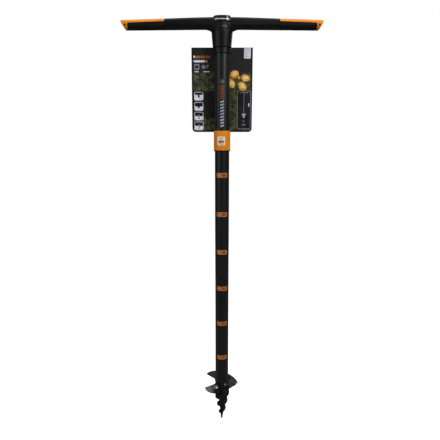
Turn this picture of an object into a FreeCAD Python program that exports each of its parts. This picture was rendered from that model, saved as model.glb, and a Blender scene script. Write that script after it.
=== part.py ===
import FreeCAD, Part
import math
import os
import Sketcher
from FreeCAD import Placement, Rotation, Vector

# A hand auger for post holes, in millimetres. The origin is the tip of the pilot screw, on the shaft's axis.
# +Z runs up the shaft, the crossbar lies along X, and the front of the tool (its label side) faces -Y.

# Driving sizes: alias and value of each cell. Levels are heights above the tip.
SIZES = [
    # crossbar
    ("bar_half", 240.0),
    ("bar_depth", 30.0),
    ("bar_round", 9.5),
    ("bar_end_round", 2.5),
    ("bar_top", 1070.3),
    ("bar_shoulder_x", 65.0),
    ("bar_shoulder_top", 1069.25),
    ("bar_crown", 2013.0),
    ("bar_end_top", 1063.6),
    ("bar_foot_x", 228.0),
    ("bar_foot", 1043.5),
    ("bar_belly", 1045.6),
    # end shells, grip pads and the tongue that carries them
    ("strip_start_high", 129.5),
    ("strip_start_low", 135.5),
    ("strip_low_inner", 1059.5),
    ("strip_low_outer", 1056.4),
    ("wrap_x", 221.5),
    ("pad_corner", 4.0),
    ("seam", 0.3),
    ("zone_top", 1077.0),
    ("zone_foot", 1035.0),
    ("zone_x", 250.0),
    ("tongue_half_depth", 9.0),
    ("tongue_foot", 1047.0),
    ("tongue_top", 1060.5),
    ("tongue_x", 214.0),
    ("cord_hole_x", 227.0),
    ("cord_hole_level", 1052.0),
    ("cord_hole_radius", 2.5),
    # column under the bar, its cap and its badge
    ("column_foot", 1003.5),
    ("column_foot_radius", 22.4),
    ("column_wide", 1036.0),
    ("column_wide_radius", 25.2),
    ("column_top", 1058.1),
    ("column_top_radius", 21.3),
    ("flare_round", 5.0),
    ("cap_radius", 21.2),
    ("cap_waist", 20.4),
    ("cap_top", 1071.2),
    ("cap_gap", 0.7),
    ("badge_x", 5.5),
    ("badge_level", 1047.0),
    ("badge_half_width", 5.5),
    ("badge_half_height", 2.0),
    ("badge_thick", 0.4),
    # core tube in the bar
    ("core_radius", 4.0),
    ("core_wall", 1.5),
    ("core_half", 212.0),
    ("core_level", 1052.0),
    # shaft, its ring and the screws in the back of the column
    ("shaft_radius", 18.0),
    ("shaft_wall", 1.8),
    ("shaft_foot", 96.0),
    ("shaft_top", 1057.6),
    ("slack", 0.05),
    ("ring_radius", 21.0),
    ("ring_foot", 990.0),
    ("ring_top", 1001.5),
    ("sleeve_radius", 19.6),
    ("sleeve_top", 1030.0),
    ("screw_seat", 21.2),
    ("screw_head_radius", 4.0),
    ("screw_head", 2.2),
    ("screw_radius", 2.0),
    ("screw_tip", 14.5),
    ("screw_low", 1012.0),
    ("screw_high", 1025.0),
    # hub, flight and cutters
    ("auger_radius", 50.6),
    ("flight_radius", 48.9),
    ("hub_radius", 21.0),
    ("hub_neck", 19.6),
    ("hub_foot", 93.5),
    ("hub_shoulder", 101.0),
    ("hub_top", 110.0),
    ("plate", 2.5),
    ("head_level", 117.0),
    ("lean", 14.6),
    ("plate_root", 17.0),
    ("lead_angle", 12.5),
    ("lead_line", 4.0),
    ("cutter_span", 76.0),
    ("flight_start", 21.0),
    ("flight_middle", 90.0),
    ("flight_end", 156.0),
    ("heel_x", 24.0),
    ("heel_y", 9.0),
    ("heel_round", 20.0),
    ("toe_x", 17.0),
    ("toe_y", 6.0),
    ("nose_x", 42.0),
    ("nose_y", 1.5),
    ("sweep_x", 24.5),
    ("sweep_y", 20.0),
    ("lug_start", 24.0),
    ("lug_span", 76.0),
    ("lug_radius", 40.0),
    # cutter bolts and the lock bolt
    ("bolt_ring", 31.0),
    ("bolt_angle", 58.0),
    ("bolt_radius", 4.0),
    ("bolt_flats", 13.0),
    ("bolt_head", 5.3),
    ("bolt_length", 15.0),
    ("nut_height", 6.5),
    ("washer_radius", 8.0),
    ("washer_thick", 1.6),
    ("lock_level", 118.0),
    ("lock_angle", -56.0),
    ("lock_seat", 17.2),
    ("lock_flats", 10.0),
    ("lock_head", 4.0),
    ("lock_radius", 3.0),
    ("lock_tip", 7.0),
    ("pin_level", 134.5),
    ("pin_angle", -66.0),
    ("pin_radius", 2.5),
    ("pin_half", 18.6),
    # pilot screw
    ("screw_cone", 0.189),
    ("pilot_shoulder", 93.3),
    ("shank_top", 150.0),
    ("thread_pitch", 27.0),
    ("thread_start", 8.5),
    ("thread_crest", 6.3),
    ("thread_root", 1.0),
    ("thread_half", 5.4),
    ("thread_nose", 2.0),
    # depth collar
    ("collar_foot", 761.0),
    ("collar_top", 810.5),
    ("collar_radius", 20.5),
    ("collar_bore", 19.35),
    ("liner_radius", 19.3),
    ("liner_lip", 2.4),
    ("liner_top", 801.5),
    ("grip_ring_top", 806.6),
    ("collar_mouth", 18.4),
    ("label_half_width", 9.5),
    ("label_foot", 775.5),
    ("label_top", 797.0),
    ("label_corner", 2.5),
    ("label_thick", 0.15),
    ("label_x", -2.0),
    # retail card
    ("card_half", 75.0),
    ("card_foot", 808.0),
    ("card_top", 1009.0),
    ("card_face", 21.2),
    ("card_thick", 0.8),
    ("card_corner", 9.0),
    ("notch_half", 12.0),
    ("notch_foot", 998.0),
    ("tape_half", 11.0),
    ("tape_foot", 930.0),
    ("tape_top", 985.0),
]

doc = FreeCAD.newDocument("PostHoleDigger")
sheet = doc.addObject("Spreadsheet::Sheet", "Sizes")
for row, (alias, value) in enumerate(SIZES, start=1):
    sheet.set("A%d" % row, alias)
    sheet.set("B%d" % row, str(value))
    sheet.setAlias("B%d" % row, alias)
doc.recompute()

nodes = {}


def size(alias):
    """The value of one cell of the sheet."""
    return float(sheet.get(alias))


def keep(obj, name):
    """Make obj the sub-part that is written as name."""
    obj.Label = name
    nodes[name] = obj
    return obj


def bind(obj, **expressions):
    """Bind properties of obj to expressions over the sheet."""
    for prop, expression in expressions.items():
        obj.setExpression(prop, expression)
    return obj


def origin_item(body, role):
    """A plane or axis of the body's own origin."""
    return [item for item in body.Origin.OriginFeatures if item.Role == role][0]


def new_body(name):
    return doc.addObject("PartDesign::Body", name)


def arc_middle(start, end, radius):
    """Middle of the short arc from start to end. A positive radius has its centre on the left."""
    half = (end - start) * 0.5
    left = Vector(-half.y, half.x, 0).normalize()
    side = math.copysign(1.0, radius)
    lift = math.sqrt(max(radius * radius - half.Length**2, 0.0))
    centre = start + half + left * side * lift
    return centre - left * side * abs(radius)


def outline(body, name, role, points, level="0"):
    """Closed sketch through points whose coordinates are expressions.

    A third entry in a point is the radius of the arc that leaves it. level lifts the sketch off its plane.
    """
    sketch = body.newObject("Sketcher::SketchObject", name)
    sketch.AttachmentSupport = [(origin_item(body, role), "")]
    sketch.MapMode = "FlatFace"
    sketch.setExpression("AttachmentOffset.Base.z", level)
    corners = [Vector(*(sketch.evalExpression(e) for e in point[:2])) for point in points]
    ends = []
    for index, point in enumerate(points):
        start = corners[index]
        end = corners[(index + 1) % len(corners)]
        if len(point) == 3:
            middle = arc_middle(start, end, sketch.evalExpression(point[2]))
            geo = sketch.addGeometry(Part.Arc(start, middle, end), False)
            radius = sketch.Geometry[geo].Radius
            number = sketch.addConstraint(Sketcher.Constraint("Radius", geo, radius))
            sketch.setExpression("Constraints[%d]" % number, "abs(%s)" % point[2])
        else:
            geo = sketch.addGeometry(Part.LineSegment(start, end), False)
        forward = (sketch.getPoint(geo, 1) - start).Length < 1e-6
        ends.append((geo, 1, 2) if forward else (geo, 2, 1))
    for index, (geo, first, last) in enumerate(ends):
        following, start_of_following, _ = ends[(index + 1) % len(ends)]
        sketch.addConstraint(Sketcher.Constraint("Coincident", geo, last, following, start_of_following))
        for kind, expression, value in (
            ("DistanceX", points[index][0], corners[index].x),
            ("DistanceY", points[index][1], corners[index].y),
        ):
            number = sketch.addConstraint(Sketcher.Constraint(kind, -1, 1, geo, first, value))
            sketch.setExpression("Constraints[%d]" % number, expression)
    return sketch


def pad(body, sketch, length, symmetric=False):
    feature = body.newObject("PartDesign::Pad", sketch.Name + "Pad")
    feature.Profile = sketch
    if symmetric:
        feature.SideType = "Symmetric"
    return bind(feature, Length=length)


def revolve(body, sketch, kind="PartDesign::Revolution"):
    """Turn the sketch once around the body's Z axis."""
    feature = body.newObject(kind, sketch.Name + "Turn")
    feature.Profile = sketch
    feature.ReferenceAxis = (origin_item(body, "Z_Axis"), [""])
    feature.Angle = 360
    return feature


def helix(body, sketch, pitch, turns, cone="0"):
    """Carry the sketch up a right-hand helix around the body's Z axis."""
    feature = body.newObject("PartDesign::AdditiveHelix", sketch.Name + "Helix")
    feature.Profile = sketch
    feature.ReferenceAxis = (origin_item(body, "Z_Axis"), [""])
    feature.Mode = 1
    return bind(feature, Pitch=pitch, Turns=turns, Angle=cone)


def edges_where(shape, test, parts=(0.0, 0.5, 1.0)):
    """Names of the edges whose points at the given parts of their length all pass the test."""
    names = []
    for number, edge in enumerate(shape.Edges, start=1):
        first, last = edge.ParameterRange
        spots = [edge.valueAt(first + (last - first) * part) for part in parts]
        if all(test(spot) for spot in spots):
            names.append("Edge%d" % number)
    return names


def dress(body, kind, test, parts=(0.0, 0.5, 1.0), **expressions):
    """Fillet or chamfer the edges of the body's tip that pass the test."""
    doc.recompute()
    base = body.Tip
    feature = body.newObject("PartDesign::" + kind, body.Name + kind)
    feature.Base = (base, edges_where(base.Shape, test, parts))
    return bind(feature, **expressions)


def turned(name, points):
    """A body turned from a profile of radius and level."""
    body = new_body(name)
    revolve(body, outline(body, name + "Profile", "XZ_Plane", points))
    return body


def tube_profile(inner, outer, foot, top):
    return [(inner, foot), (outer, foot), (outer, top), (inner, top)]


def cylinder(name, radius, height, rotation=None, x="0", y="0", z="0"):
    """A cylinder that starts at x, y, z and runs along Z, or where the rotation turns Z."""
    obj = doc.addObject("Part::Cylinder", name)
    obj.Placement = Placement(Vector(), rotation or Rotation())
    bind(obj, Radius=radius, Height=height)
    for letter, expression in (("x", x), ("y", y), ("z", z)):
        if expression != "0":
            obj.setExpression("Placement.Base." + letter, expression)
    return obj


def box(name, low, high):
    """A box between two corners whose coordinates are expressions."""
    obj = doc.addObject("Part::Box", name)
    for side, letter, start, end in zip(("Length", "Width", "Height"), "xyz", low, high):
        obj.setExpression(side, "(%s) - (%s)" % (end, start))
        obj.setExpression("Placement.Base." + letter, start)
    return obj


def fuse(name, *parts):
    obj = doc.addObject("Part::MultiFuse", name)
    obj.Shapes = list(parts)
    obj.Refine = True
    return obj


def cut(name, base, *tools):
    obj = doc.addObject("Part::Cut", name)
    obj.Base = base
    obj.Tool = tools[0] if len(tools) == 1 else fuse(name + "Tools", *tools)
    return obj


def common(name, first, second):
    obj = doc.addObject("Part::Common", name)
    obj.Base = first
    obj.Tool = second
    return obj


def mirrored(name, source):
    """The source on the other side of the YZ plane."""
    obj = doc.addObject("Part::Mirroring", name)
    obj.Source = source
    obj.Normal = Vector(1, 0, 0)
    return obj


def group(name, *parts):
    obj = doc.addObject("Part::Compound", name)
    obj.Links = list(parts)
    return keep(obj, name)


ALONG_X = Rotation(Vector(0, 1, 0), 90)
ALONG_Y = Rotation(Vector(1, 0, 0), -90)


# ---------------------------------------------------------------- handle


def bar_form():
    """Right half of the crossbar's outer form, rounded along its length and around its slanted end."""
    body = new_body("BarForm")
    points = [
        ("0", "Sizes.bar_belly"),
        ("Sizes.bar_foot_x", "Sizes.bar_foot"),
        ("Sizes.bar_half", "Sizes.bar_end_top"),
        ("Sizes.bar_shoulder_x", "Sizes.bar_shoulder_top", "Sizes.bar_crown"),
        ("0", "Sizes.bar_top"),
    ]
    pad(body, outline(body, "BarOutline", "XZ_Plane", points), "Sizes.bar_depth", symmetric=True)
    face = size("bar_depth") / 2
    foot = Vector(size("bar_foot_x"), 0, size("bar_foot"))
    slant = Vector(size("bar_half"), 0, size("bar_end_top")) - foot
    across = slant.cross(Vector(0, 1, 0)).normalize()

    def on_end(spot):
        return abs((spot - foot).dot(across)) < 1e-3

    def long_edge(spot):
        return abs(abs(spot.y) - face) < 1e-3 and abs(spot.x) > 1e-3 and not on_end(spot)

    dress(body, "Fillet", long_edge, parts=(0.5,), Radius="Sizes.bar_round")
    dress(body, "Fillet", on_end, Radius="Sizes.bar_end_round")
    return body


def end_zone(name, points, corner=None):
    """A prism through the bar's depth, with one corner of its outline rounded if asked."""
    body = new_body(name)
    pad(body, outline(body, name + "Outline", "XZ_Plane", points), "Sizes.bar_depth * 2", symmetric=True)
    if corner:
        x, z, radius = corner
        dress(body, "Fillet", lambda spot: math.hypot(spot.x - x, spot.z - z) < 1e-3, Radius=radius)
    return body


def tongue():
    """Bar that runs through the end zone, inside the end shell and the grip pad."""
    low = ("Sizes.strip_start_high - 10", "-Sizes.tongue_half_depth", "Sizes.tongue_foot")
    high = ("Sizes.tongue_x", "Sizes.tongue_half_depth", "Sizes.tongue_top")
    return box("Tongue", low, high)


def end_pieces(form, rib):
    """Orange end shell and soft grip pad of the right end, cut from the bar's form around the tongue."""
    shell_points = [
        ("Sizes.strip_start_high + Sizes.seam", "Sizes.zone_top"),
        ("Sizes.strip_start_low + Sizes.seam", "Sizes.strip_low_inner"),
        ("Sizes.wrap_x", "Sizes.strip_low_outer"),
        ("Sizes.wrap_x", "Sizes.zone_foot"),
        ("Sizes.zone_x", "Sizes.zone_foot"),
        ("Sizes.zone_x", "Sizes.zone_top"),
    ]
    shell_corner = (size("wrap_x"), size("strip_low_outer"), "Sizes.pad_corner + Sizes.seam")
    shell_zone = end_zone("ShellZone", shell_points, shell_corner)
    pad_points = [
        ("Sizes.strip_start_low + Sizes.seam", "Sizes.zone_foot"),
        ("Sizes.wrap_x - Sizes.seam", "Sizes.zone_foot"),
        ("Sizes.wrap_x - Sizes.seam", "Sizes.strip_low_outer - Sizes.seam"),
        ("Sizes.strip_start_low + Sizes.seam", "Sizes.strip_low_inner - Sizes.seam"),
    ]
    pad_corner = (
        size("wrap_x") - size("seam"),
        size("strip_low_outer") - size("seam"),
        "Sizes.pad_corner",
    )
    pad_zone = end_zone("PadZone", pad_points, pad_corner)
    cord_hole = cylinder(
        "CordHole",
        "Sizes.cord_hole_radius",
        "Sizes.bar_depth * 2",
        ALONG_Y,
        x="Sizes.cord_hole_x",
        y="-Sizes.bar_depth",
        z="Sizes.cord_hole_level",
    )
    shell = cut("ShellRight", common("ShellBlank", form, shell_zone), rib, cord_hole)
    grip = cut("PadRight", common("PadBlank", form, pad_zone), rib)
    keep(shell, "grip_shell_right")
    keep(grip, "grip_pad_right")
    keep(mirrored("ShellLeft", shell), "grip_shell_left")
    keep(mirrored("PadLeft", grip), "grip_pad_left")


def column_form(name, extra="0"):
    """Round column that takes the shaft, widest just under the bar. extra grows its radius."""
    return turned(
        name,
        [
            ("0", "Sizes.column_foot"),
            ("Sizes.column_foot_radius + " + extra, "Sizes.column_foot"),
            ("Sizes.column_wide_radius + " + extra, "Sizes.column_wide"),
            ("Sizes.column_top_radius + " + extra, "Sizes.column_top"),
            ("0", "Sizes.column_top"),
        ],
    )


def column_fillet(blank):
    """Round the corner where the column meets the underside and the flanks of the bar."""
    doc.recompute()
    foot = size("bar_belly") - 0.5
    top = size("bar_top") - size("bar_depth") / 2

    def in_corner(spot):
        near = abs(math.hypot(spot.x, spot.y) - size("column_wide_radius")) < 2.5
        return near and foot < spot.z < top

    feature = doc.addObject("Part::Fillet", "ColumnFillet")
    feature.Base = blank
    radius = size("flare_round")
    numbers = [int(name[4:]) for name in edges_where(blank.Shape, in_corner)]
    feature.Edges = [(number, radius, radius) for number in numbers]
    return feature


def back_screw_holes():
    """Seats and through holes of the two screws in the back of the column."""
    tools = []
    for cell in ("screw_low", "screw_high"):
        tools.append(
            cylinder(
                "Seat" + cell.title().replace("_", ""),
                "Sizes.screw_head_radius + 0.5",
                "20",
                ALONG_Y,
                y="Sizes.screw_seat",
                z="Sizes." + cell,
            )
        )
        tools.append(back_drill("Column", cell))
    return tools


def back_drill(owner, cell):
    """Clearance hole for one of the back screws."""
    return cylinder(
        owner + "Drill" + cell.title().replace("_", ""),
        "Sizes.screw_radius + Sizes.slack",
        "Sizes.column_wide_radius",
        ALONG_Y,
        y="Sizes.screw_tip - 1",
        z="Sizes." + cell,
    )


def core_bore(owner):
    """Hole through everything that the core tube passes."""
    return cylinder(
        owner + "CoreBore",
        "Sizes.core_radius + Sizes.slack",
        "Sizes.bar_half * 2",
        ALONG_X,
        x="-Sizes.bar_half",
        z="Sizes.core_level",
    )


def handle_body(form, rib):
    """One moulding: both arms of the bar, their tongues and the column, bored for shaft and core tube."""
    zone = end_zone(
        "CoreZone",
        [
            ("Sizes.strip_start_high", "Sizes.zone_top"),
            ("Sizes.strip_start_low", "Sizes.strip_low_inner"),
            ("Sizes.strip_start_low", "Sizes.zone_foot"),
            ("Sizes.zone_x", "Sizes.zone_foot"),
            ("Sizes.zone_x", "Sizes.zone_top"),
        ],
    )
    arm = fuse("ArmRight", cut("ArmStub", form, zone), rib)
    blank = column_fillet(fuse("HandleBlank", arm, mirrored("ArmLeft", arm), column_form("Column")))
    tools = [
        cylinder("ShaftBore", "Sizes.shaft_radius + Sizes.slack", "Sizes.column_top"),
        cylinder("SleeveBore", "Sizes.sleeve_radius + Sizes.slack", "Sizes.sleeve_top + 0.2"),
        cylinder("CapSeat", "Sizes.cap_radius + 0.2", "20", z="Sizes.column_top"),
        core_bore("Handle"),
    ]
    keep(cut("HandleBody", blank, *tools, *back_screw_holes()), "handle_body")


def top_cap():
    """Round cap with a dished rim and a short spigot that plugs the top of the shaft."""
    body = turned(
        "TopCap",
        [
            ("0", "Sizes.shaft_top - 1.2"),
            ("Sizes.shaft_radius - Sizes.shaft_wall - 0.2", "Sizes.shaft_top - 1.2"),
            ("Sizes.shaft_radius - Sizes.shaft_wall - 0.2", "Sizes.column_top + Sizes.cap_gap"),
            ("Sizes.cap_radius", "Sizes.column_top + Sizes.cap_gap"),
            ("Sizes.cap_radius", "Sizes.column_top + 4.5"),
            ("Sizes.cap_waist", "Sizes.cap_top - 4"),
            ("Sizes.cap_waist", "Sizes.cap_top"),
            ("0", "Sizes.cap_top"),
        ],
    )
    top = size("cap_top")
    dress(body, "Fillet", lambda spot: abs(spot.z - top) < 1e-3 and spot.Length > 1, Radius="1.2")
    keep(body, "top_cap")


def front_badge():
    """Blank oval plate on the front of the column."""
    body = new_body("BadgeForm")
    left = "Sizes.badge_x - Sizes.badge_half_width"
    right = "Sizes.badge_x + Sizes.badge_half_width"
    foot = "Sizes.badge_level - Sizes.badge_half_height"
    top = "Sizes.badge_level + Sizes.badge_half_height"
    corners = [(left, foot), (right, foot), (right, top), (left, top)]
    pad(body, outline(body, "BadgeOutline", "XZ_Plane", corners), "Sizes.column_wide_radius * 2")
    dress(
        body,
        "Fillet",
        lambda spot: abs(abs(spot.x - size("badge_x")) - size("badge_half_width")) < 1e-3
        and abs(abs(spot.z - size("badge_level")) - size("badge_half_height")) < 1e-3,
        Radius="Sizes.badge_half_height - 0.1",
    )
    outside = column_form("BadgeOutside", "Sizes.badge_thick")
    inside = column_form("BadgeInside", "0.02")
    keep(cut("Badge", common("BadgeBlank", outside, body), inside), "front_badge")


def core_tube():
    """Steel tube through the bar and the shaft."""
    outer = cylinder(
        "CoreOuter",
        "Sizes.core_radius",
        "Sizes.core_half * 2",
        ALONG_X,
        x="-Sizes.core_half",
        z="Sizes.core_level",
    )
    inner = cylinder(
        "CoreInner",
        "Sizes.core_radius - Sizes.core_wall",
        "Sizes.bar_half * 2",
        ALONG_X,
        x="-Sizes.bar_half",
        z="Sizes.core_level",
    )
    keep(cut("CoreTube", outer, inner), "handle_core_tube")


def socket_bushing():
    """Ring under the column with a sleeve that fills the gap between shaft and column."""
    bore = "Sizes.shaft_radius + Sizes.slack"
    body = turned(
        "SocketBushing",
        [
            (bore, "Sizes.ring_foot"),
            ("Sizes.ring_radius", "Sizes.ring_foot"),
            ("Sizes.ring_radius", "Sizes.ring_top"),
            ("Sizes.sleeve_radius", "Sizes.ring_top"),
            ("Sizes.sleeve_radius", "Sizes.sleeve_top"),
            (bore, "Sizes.sleeve_top"),
        ],
    )
    rim = size("ring_radius")
    dress(body, "Fillet", lambda spot: abs(math.hypot(spot.x, spot.y) - rim) < 1e-3, Radius="0.8")
    drills = [back_drill("Bushing", cell) for cell in ("screw_low", "screw_high")]
    keep(cut("Bushing", body, *drills), "socket_bushing")


def back_screw(cell):
    """Pan-head screw that enters the back of the column along -Y."""
    name = cell.title().replace("_", "")
    head = cylinder(
        "Head" + name,
        "Sizes.screw_head_radius",
        "Sizes.screw_head",
        ALONG_Y,
        y="Sizes.screw_seat",
        z="Sizes." + cell,
    )
    shank = cylinder(
        "Shank" + name,
        "Sizes.screw_radius",
        "Sizes.screw_seat - Sizes.screw_tip + 0.5",
        ALONG_Y,
        y="Sizes.screw_tip",
        z="Sizes." + cell,
    )
    socket = doc.addObject("Part::Prism", "Recess" + name)
    socket.Polygon = 6
    socket.Placement = Placement(Vector(), ALONG_Y)
    bind(socket, Circumradius="Sizes.screw_head_radius * 0.45", Height="2")
    socket.setExpression("Placement.Base.y", "Sizes.screw_seat + Sizes.screw_head - 1.4")
    socket.setExpression("Placement.Base.z", "Sizes." + cell)
    return cut("Screw" + name, fuse("ScrewBlank" + name, head, shank), socket)


# ---------------------------------------------------------------- shaft and head


def radial_frame(start, angle, level):
    """Rotation and base expressions of a cylinder that leaves the axis at an angle."""
    return {
        "rotation": Rotation(Vector(0, 0, 1), size(angle)).multiply(ALONG_X),
        "x": "(%s) * cos(Sizes.%s * 1 deg)" % (start, angle),
        "y": "(%s) * sin(Sizes.%s * 1 deg)" % (start, angle),
        "z": "Sizes." + level,
    }


def lock_frame(start):
    return radial_frame(start, "lock_angle", "lock_level")


def lock_drill(owner):
    """Clearance hole for the lock bolt."""
    frame = lock_frame("Sizes.lock_tip - 0.5")
    return cylinder(owner + "LockDrill", "Sizes.lock_radius + Sizes.slack", "Sizes.hub_radius", **frame)


def shank_pin_form(name, extra="0"):
    """Straight pin across the shaft, or with extra radius the hole for it."""
    frame = radial_frame("-Sizes.pin_half", "pin_angle", "pin_level")
    return cylinder(name, "Sizes.pin_radius + " + extra, "Sizes.pin_half * 2", **frame)


def shaft_tube():
    """Round steel tube, cross-drilled for the core tube, the back screws and the lock bolt."""
    inner = "Sizes.shaft_radius - Sizes.shaft_wall"
    profile = tube_profile(inner, "Sizes.shaft_radius", "Sizes.shaft_foot", "Sizes.shaft_top")
    body = turned("ShaftForm", profile)
    tools = [back_drill("Shaft", cell) for cell in ("screw_low", "screw_high")]
    tools += [core_bore("Shaft"), lock_drill("Shaft"), shank_pin_form("ShaftPinHole", "Sizes.slack")]
    tools.append(cylinder("LockSeat", "Sizes.lock_flats * 0.6 + 0.3", "10", **lock_frame("Sizes.lock_seat")))
    keep(cut("Shaft", body, *tools), "shaft_tube")


def plate_frame(height, turn=0):
    """Placement of a piece that stands square on the leaning plates at the bolt, turned about the shaft."""
    angle = math.radians(size("bolt_angle"))
    spot = Vector(math.cos(angle), math.sin(angle), 0) * size("bolt_ring")
    spin = Placement(Vector(), Rotation(Vector(0, 0, 1), turn))
    lean = Placement(Vector(0, 0, size("head_level")), Rotation(Vector(0, 1, 0), size("lean")))
    return spin.multiply(lean).multiply(Placement(spot + Vector(0, 0, height), Rotation()))


def polar(radius, angle):
    """Expressions of the point at a radius and an angle in degrees."""
    return "(%s) * cos((%s) * 1 deg)" % (radius, angle), "(%s) * sin((%s) * 1 deg)" % (radius, angle)


def leaning_plate(name, points, height):
    """Flat plate that leans about the Y axis and is bored for the hub and for one bolt."""
    body = new_body(name)
    body.Placement = Placement(Vector(), Rotation(Vector(0, 1, 0), 1.0))
    body.setExpression("Placement.Base.z", "Sizes.head_level")
    body.setExpression("Placement.Rotation.Angle", "Sizes.lean")
    pad(body, outline(body, name + "Outline", "XY_Plane", points, level=height), "Sizes.plate")
    return body


def bored_plate(name, body, bore):
    """The plate with a bore around the shaft and its bolt hole cut."""
    centre = cylinder(name + "Bore", bore, "Sizes.shank_top")
    drill = cylinder(name + "Drill", "Sizes.bolt_radius + 0.2", "Sizes.plate * 8")
    drill.Placement = plate_frame(-4 * size("plate"))
    return cut(name + "Plate", body, centre, drill)


def cutter(name, height, turn):
    """Replaceable cutter: a sector with a sharpened leading edge and one bolt hole beside the hub."""
    outer = "Sizes.auger_radius"
    points = [
        (*polar(outer, "Sizes.lead_angle"), outer),
        polar(outer, "Sizes.cutter_span"),
        polar("Sizes.plate_root", "Sizes.cutter_span"),
        ("Sizes.plate_root", "Sizes.lead_line"),
    ]
    title = name.title().replace("_", "")
    body = leaning_plate(title, points, height)
    low = body.evalExpression(height)
    angle = math.radians(size("lead_angle"))
    tip = Vector(math.cos(angle), math.sin(angle), 0) * size("auger_radius") + Vector(0, 0, low)
    root = Vector(size("plate_root"), size("lead_line"), low)

    def cutting_edge(spot):
        return spot.distanceToLine(tip, root - tip) < 1e-2

    chamfer = dress(body, "Chamfer", cutting_edge, Size="Sizes.plate * 0.8", Size2="Sizes.plate * 2.2")
    chamfer.ChamferType = "Two distances"
    plate = bored_plate(title, body, "Sizes.hub_radius + 0.1")
    plate.Placement = Placement(Vector(), Rotation(Vector(0, 0, 1), turn))
    keep(plate, name)


def auger_flight():
    """Leaning plate around the back of the shaft, over the right cutter.

    Its leading edge sweeps forward to the shaft, and its trailing edge is hollowed beside the shaft.
    """
    outer = "Sizes.flight_radius"
    points = [
        (*polar(outer, "Sizes.flight_start"), outer),
        (*polar(outer, "Sizes.flight_middle"), outer),
        polar(outer, "Sizes.flight_end"),
        ("-Sizes.heel_x", "Sizes.heel_y", "-Sizes.heel_round"),
        ("-Sizes.toe_x", "-Sizes.toe_y"),
        ("0", "0"),
        ("Sizes.plate_root", "-Sizes.plate_root * 0.75"),
        ("Sizes.sweep_x", "-Sizes.sweep_y"),
        ("Sizes.nose_x", "Sizes.nose_y"),
    ]
    body = leaning_plate("Flight", points, "-Sizes.plate / 2")
    keep(bored_plate("Flight", body, "Sizes.shaft_radius + 0.1"), "auger_flight")


def hub():
    """Tapered sleeve on the foot of the shaft, with the lug that carries the left cutter."""
    bore = "Sizes.shaft_radius + Sizes.slack"
    sleeve = turned(
        "HubSleeve",
        [
            (bore, "Sizes.hub_foot"),
            ("Sizes.hub_radius", "Sizes.hub_foot"),
            ("Sizes.hub_radius", "Sizes.hub_shoulder"),
            ("Sizes.hub_neck", "Sizes.hub_top"),
            (bore, "Sizes.hub_top"),
        ],
    )
    rim = "Sizes.lug_radius"
    points = [
        (*polar(rim, "Sizes.lug_start"), rim),
        polar(rim, "Sizes.lug_span"),
        polar("Sizes.plate_root", "Sizes.lug_span"),
        polar("Sizes.plate_root", "Sizes.lug_start"),
    ]
    lug = bored_plate("Lug", leaning_plate("HubLug", points, "-Sizes.plate * 1.5"), bore)
    lug.Placement = Placement(Vector(), Rotation(Vector(0, 0, 1), 180))
    keep(fuse("Hub", sleeve, lug), "head_hub")


def hexagon(name, flats, height):
    obj = doc.addObject("Part::Prism", name)
    obj.Polygon = 6
    return bind(obj, Circumradius="(%s) / cos(30 deg) / 2" % flats, Height=height)


def hex_head(name, flats, height):
    """Hexagon whose upper corners are rounded off by a cone."""
    crown = doc.addObject("Part::Cone", name + "Crown")
    bind(crown, Radius1="(%s) * 0.66" % flats, Radius2="(%s) * 0.47" % flats, Height=height)
    return common(name, hexagon(name + "Hexagon", flats, height), crown)


def cutter_bolt(name, turn):
    """Hex bolt with its head on top of the two plates."""
    head = hex_head(name + "Head", "Sizes.bolt_flats", "Sizes.bolt_head")
    shank = cylinder(name + "Shank", "Sizes.bolt_radius", "Sizes.bolt_length + 0.5", z="-Sizes.bolt_length")
    bolt = fuse(name, head, shank)
    bolt.Placement = plate_frame(size("plate") / 2, turn)
    return bolt


def cutter_fastenings():
    """One bolt, washer and nut through each pair of plates: flight and cutter, or cutter and lug."""
    underside = -1.5 * size("plate") - size("washer_thick")
    bolts = []
    washers = []
    nuts = []
    for side, turn in (("Right", 0), ("Left", 180)):
        bolts.append(cutter_bolt("CutterBolt" + side, turn))
        ring = cylinder("WasherDisc" + side, "Sizes.washer_radius", "Sizes.washer_thick")
        hole = cylinder("WasherHole" + side, "Sizes.bolt_radius + 0.2", "Sizes.washer_thick * 3", z="-1")
        washer = cut("Washer" + side, ring, hole)
        washer.Placement = plate_frame(underside, turn)
        washers.append(washer)
        body = hexagon("NutHexagon" + side, "Sizes.bolt_flats", "Sizes.nut_height")
        bore = cylinder("NutBore" + side, "Sizes.bolt_radius + Sizes.slack", "Sizes.nut_height * 3", z="-1")
        nut = cut("Nut" + side, body, bore)
        nut.Placement = plate_frame(underside - size("nut_height"), turn)
        nuts.append(nut)
    group("cutter_bolts", *bolts)
    group("cutter_washers", *washers)
    group("cutter_nuts", *nuts)


def head_lock_bolt():
    """Hex bolt through the wall of the shaft into the shank of the pilot screw."""
    frame = lock_frame("Sizes.lock_seat")
    head = hex_head("LockHead", "Sizes.lock_flats", "Sizes.lock_head")
    head.Placement = Placement(
        Vector(head.evalExpression(frame["x"]), head.evalExpression(frame["y"]), size("lock_level")),
        frame["rotation"],
    )
    shank = cylinder(
        "LockShank",
        "Sizes.lock_radius",
        "Sizes.lock_seat - Sizes.lock_tip + 0.5",
        **lock_frame("Sizes.lock_tip"),
    )
    keep(fuse("LockBolt", head, shank), "head_lock_bolt")


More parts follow.
